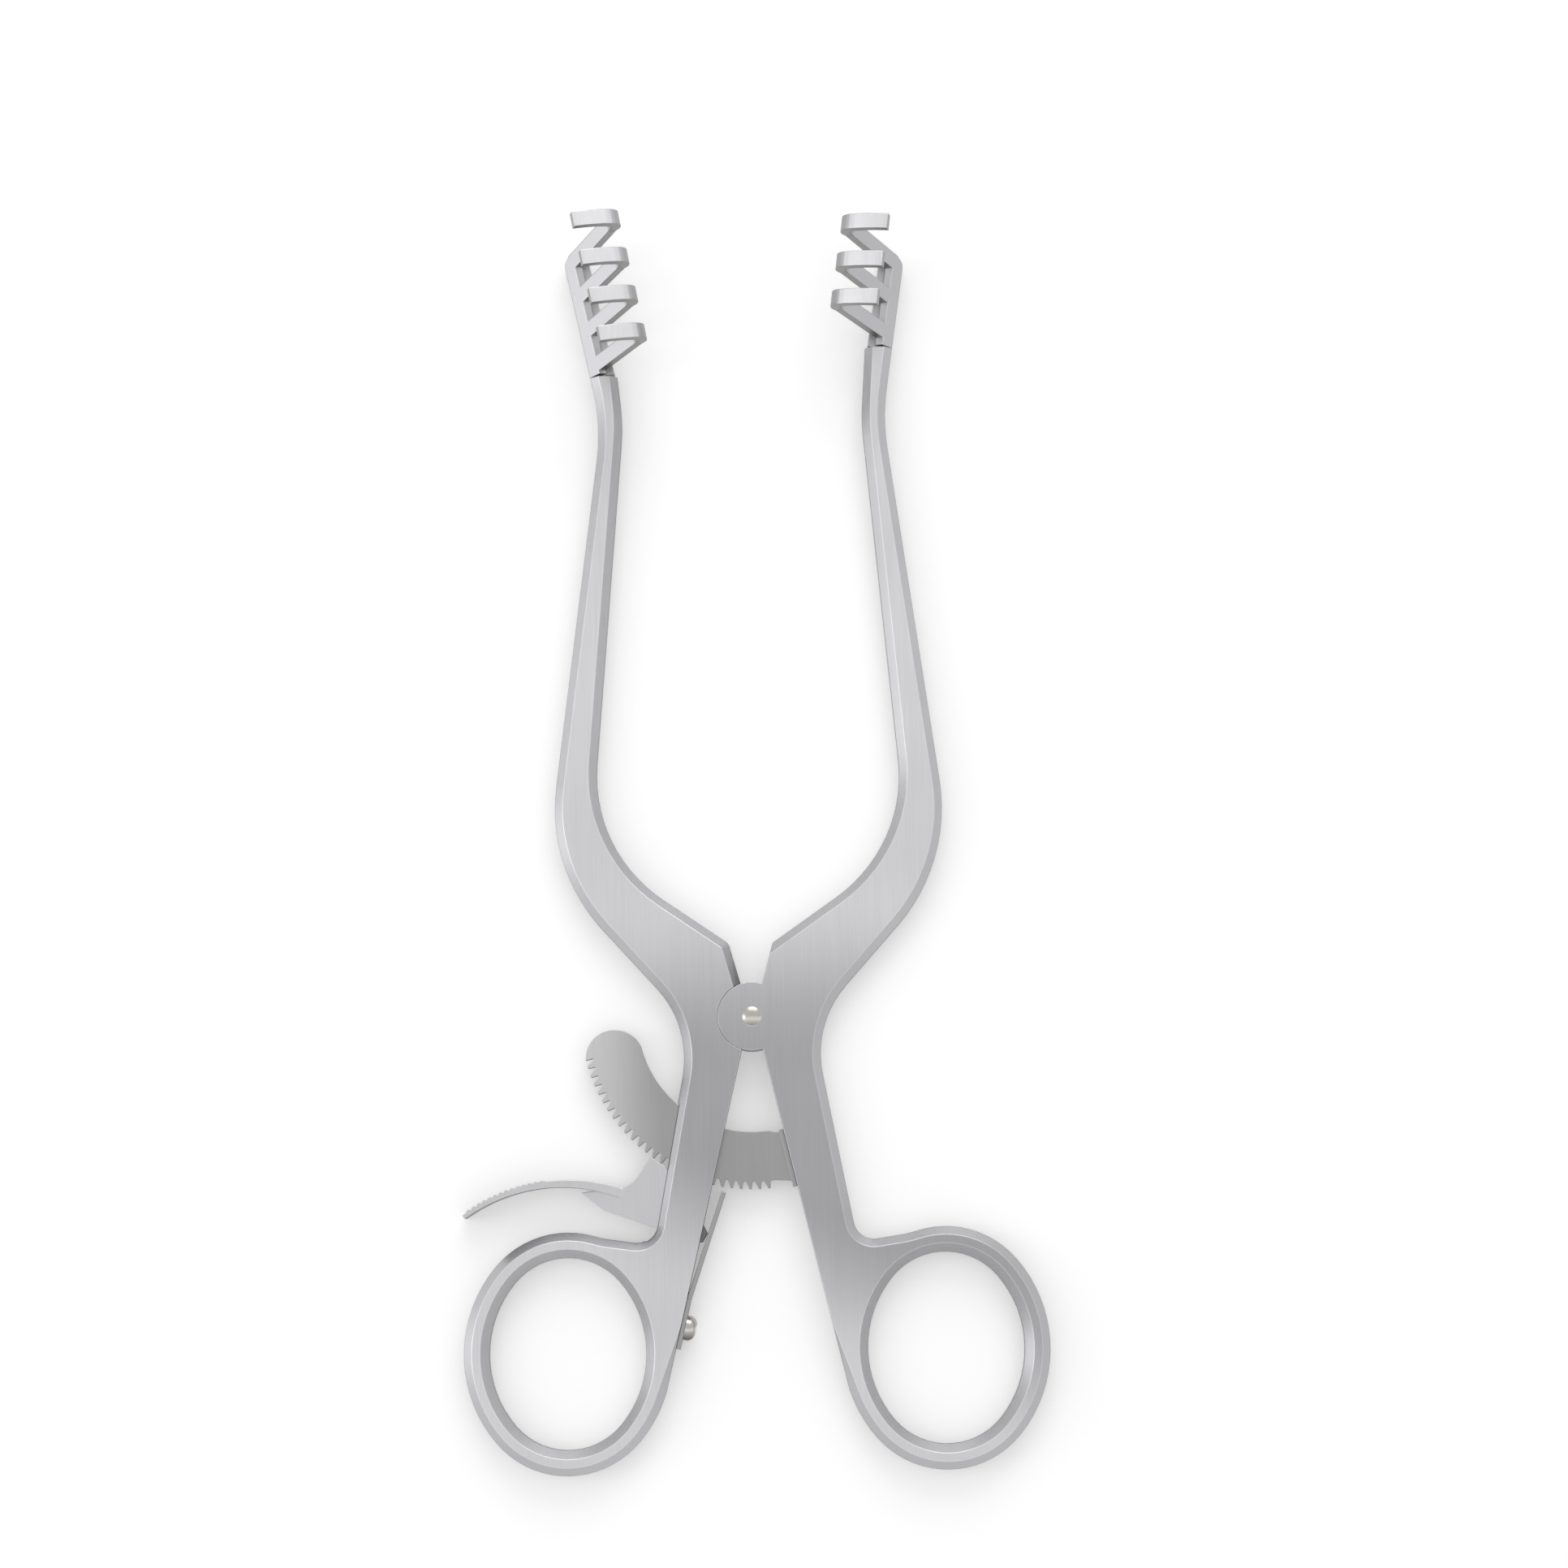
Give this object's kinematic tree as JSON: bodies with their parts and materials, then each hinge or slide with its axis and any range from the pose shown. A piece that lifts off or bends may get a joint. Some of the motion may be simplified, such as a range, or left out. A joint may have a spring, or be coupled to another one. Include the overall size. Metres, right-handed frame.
{
  "type": "self retaining retractor",
  "caption": "Hand-held surgical retractor with ring handles, hooked rakes on long curved shanks, and a ratchet bar with a sprung release lever that holds the arms open.",
  "frame": {"origin": "on the axis of the hinge screw, in the plane of the arms' back faces, on which the instrument lies", "axes": "+Y from the finger rings to the prongs, +Z along the hinge axis out of the front, +X to the arm that carries the ratchet bar"},
  "size_m": [0.092, 0.2002, 0.0186],
  "materials": {
    "satin_steel": "satin",
    "polished_steel": "polished",
    "spring_steel": "satin"
  },
  "bodies": {
    "left_arm": {"left_arm": "satin_steel", "left_rake": "satin_steel", "lever_pin": "satin_steel", "spring_foot": "spring_steel", "spring_screw": "polished_steel"},
    "right_arm": {"right_arm": "satin_steel", "right_rake": "satin_steel", "ratchet_bar": "satin_steel", "ratchet_rivets": "satin_steel", "hinge_screw": "polished_steel"},
    "release_lever": {"release_lever": "satin_steel"},
    "leaf_spring": {"leaf_spring": "spring_steel"}
  },
  "joints": [
    {"name": "arm_hinge", "type": "hinge", "parent": "left_arm", "child": "right_arm", "pos_m": [0, 0, 0], "axis": [0, 0, 1], "range_deg": [-21.5, 14]},
    {"name": "lever_hinge", "type": "hinge", "parent": "left_arm", "child": "release_lever", "pos_m": [-0.0116, -0.0296, 0], "axis": [0, 0, 1], "range_deg": [0, 12], "stiffness_Nm_per_rad": 0.15},
    {"name": "spring_bend", "type": "hinge", "parent": "left_arm", "child": "leaf_spring", "pos_m": [-0.01089, -0.04409, 0], "axis": [0, 0, 1], "range_deg": [-2.76, 0]}
  ],
  "couplings": [
    {"joint": "spring_bend", "follows": "lever_hinge", "ratio": -0.23}
  ]
}
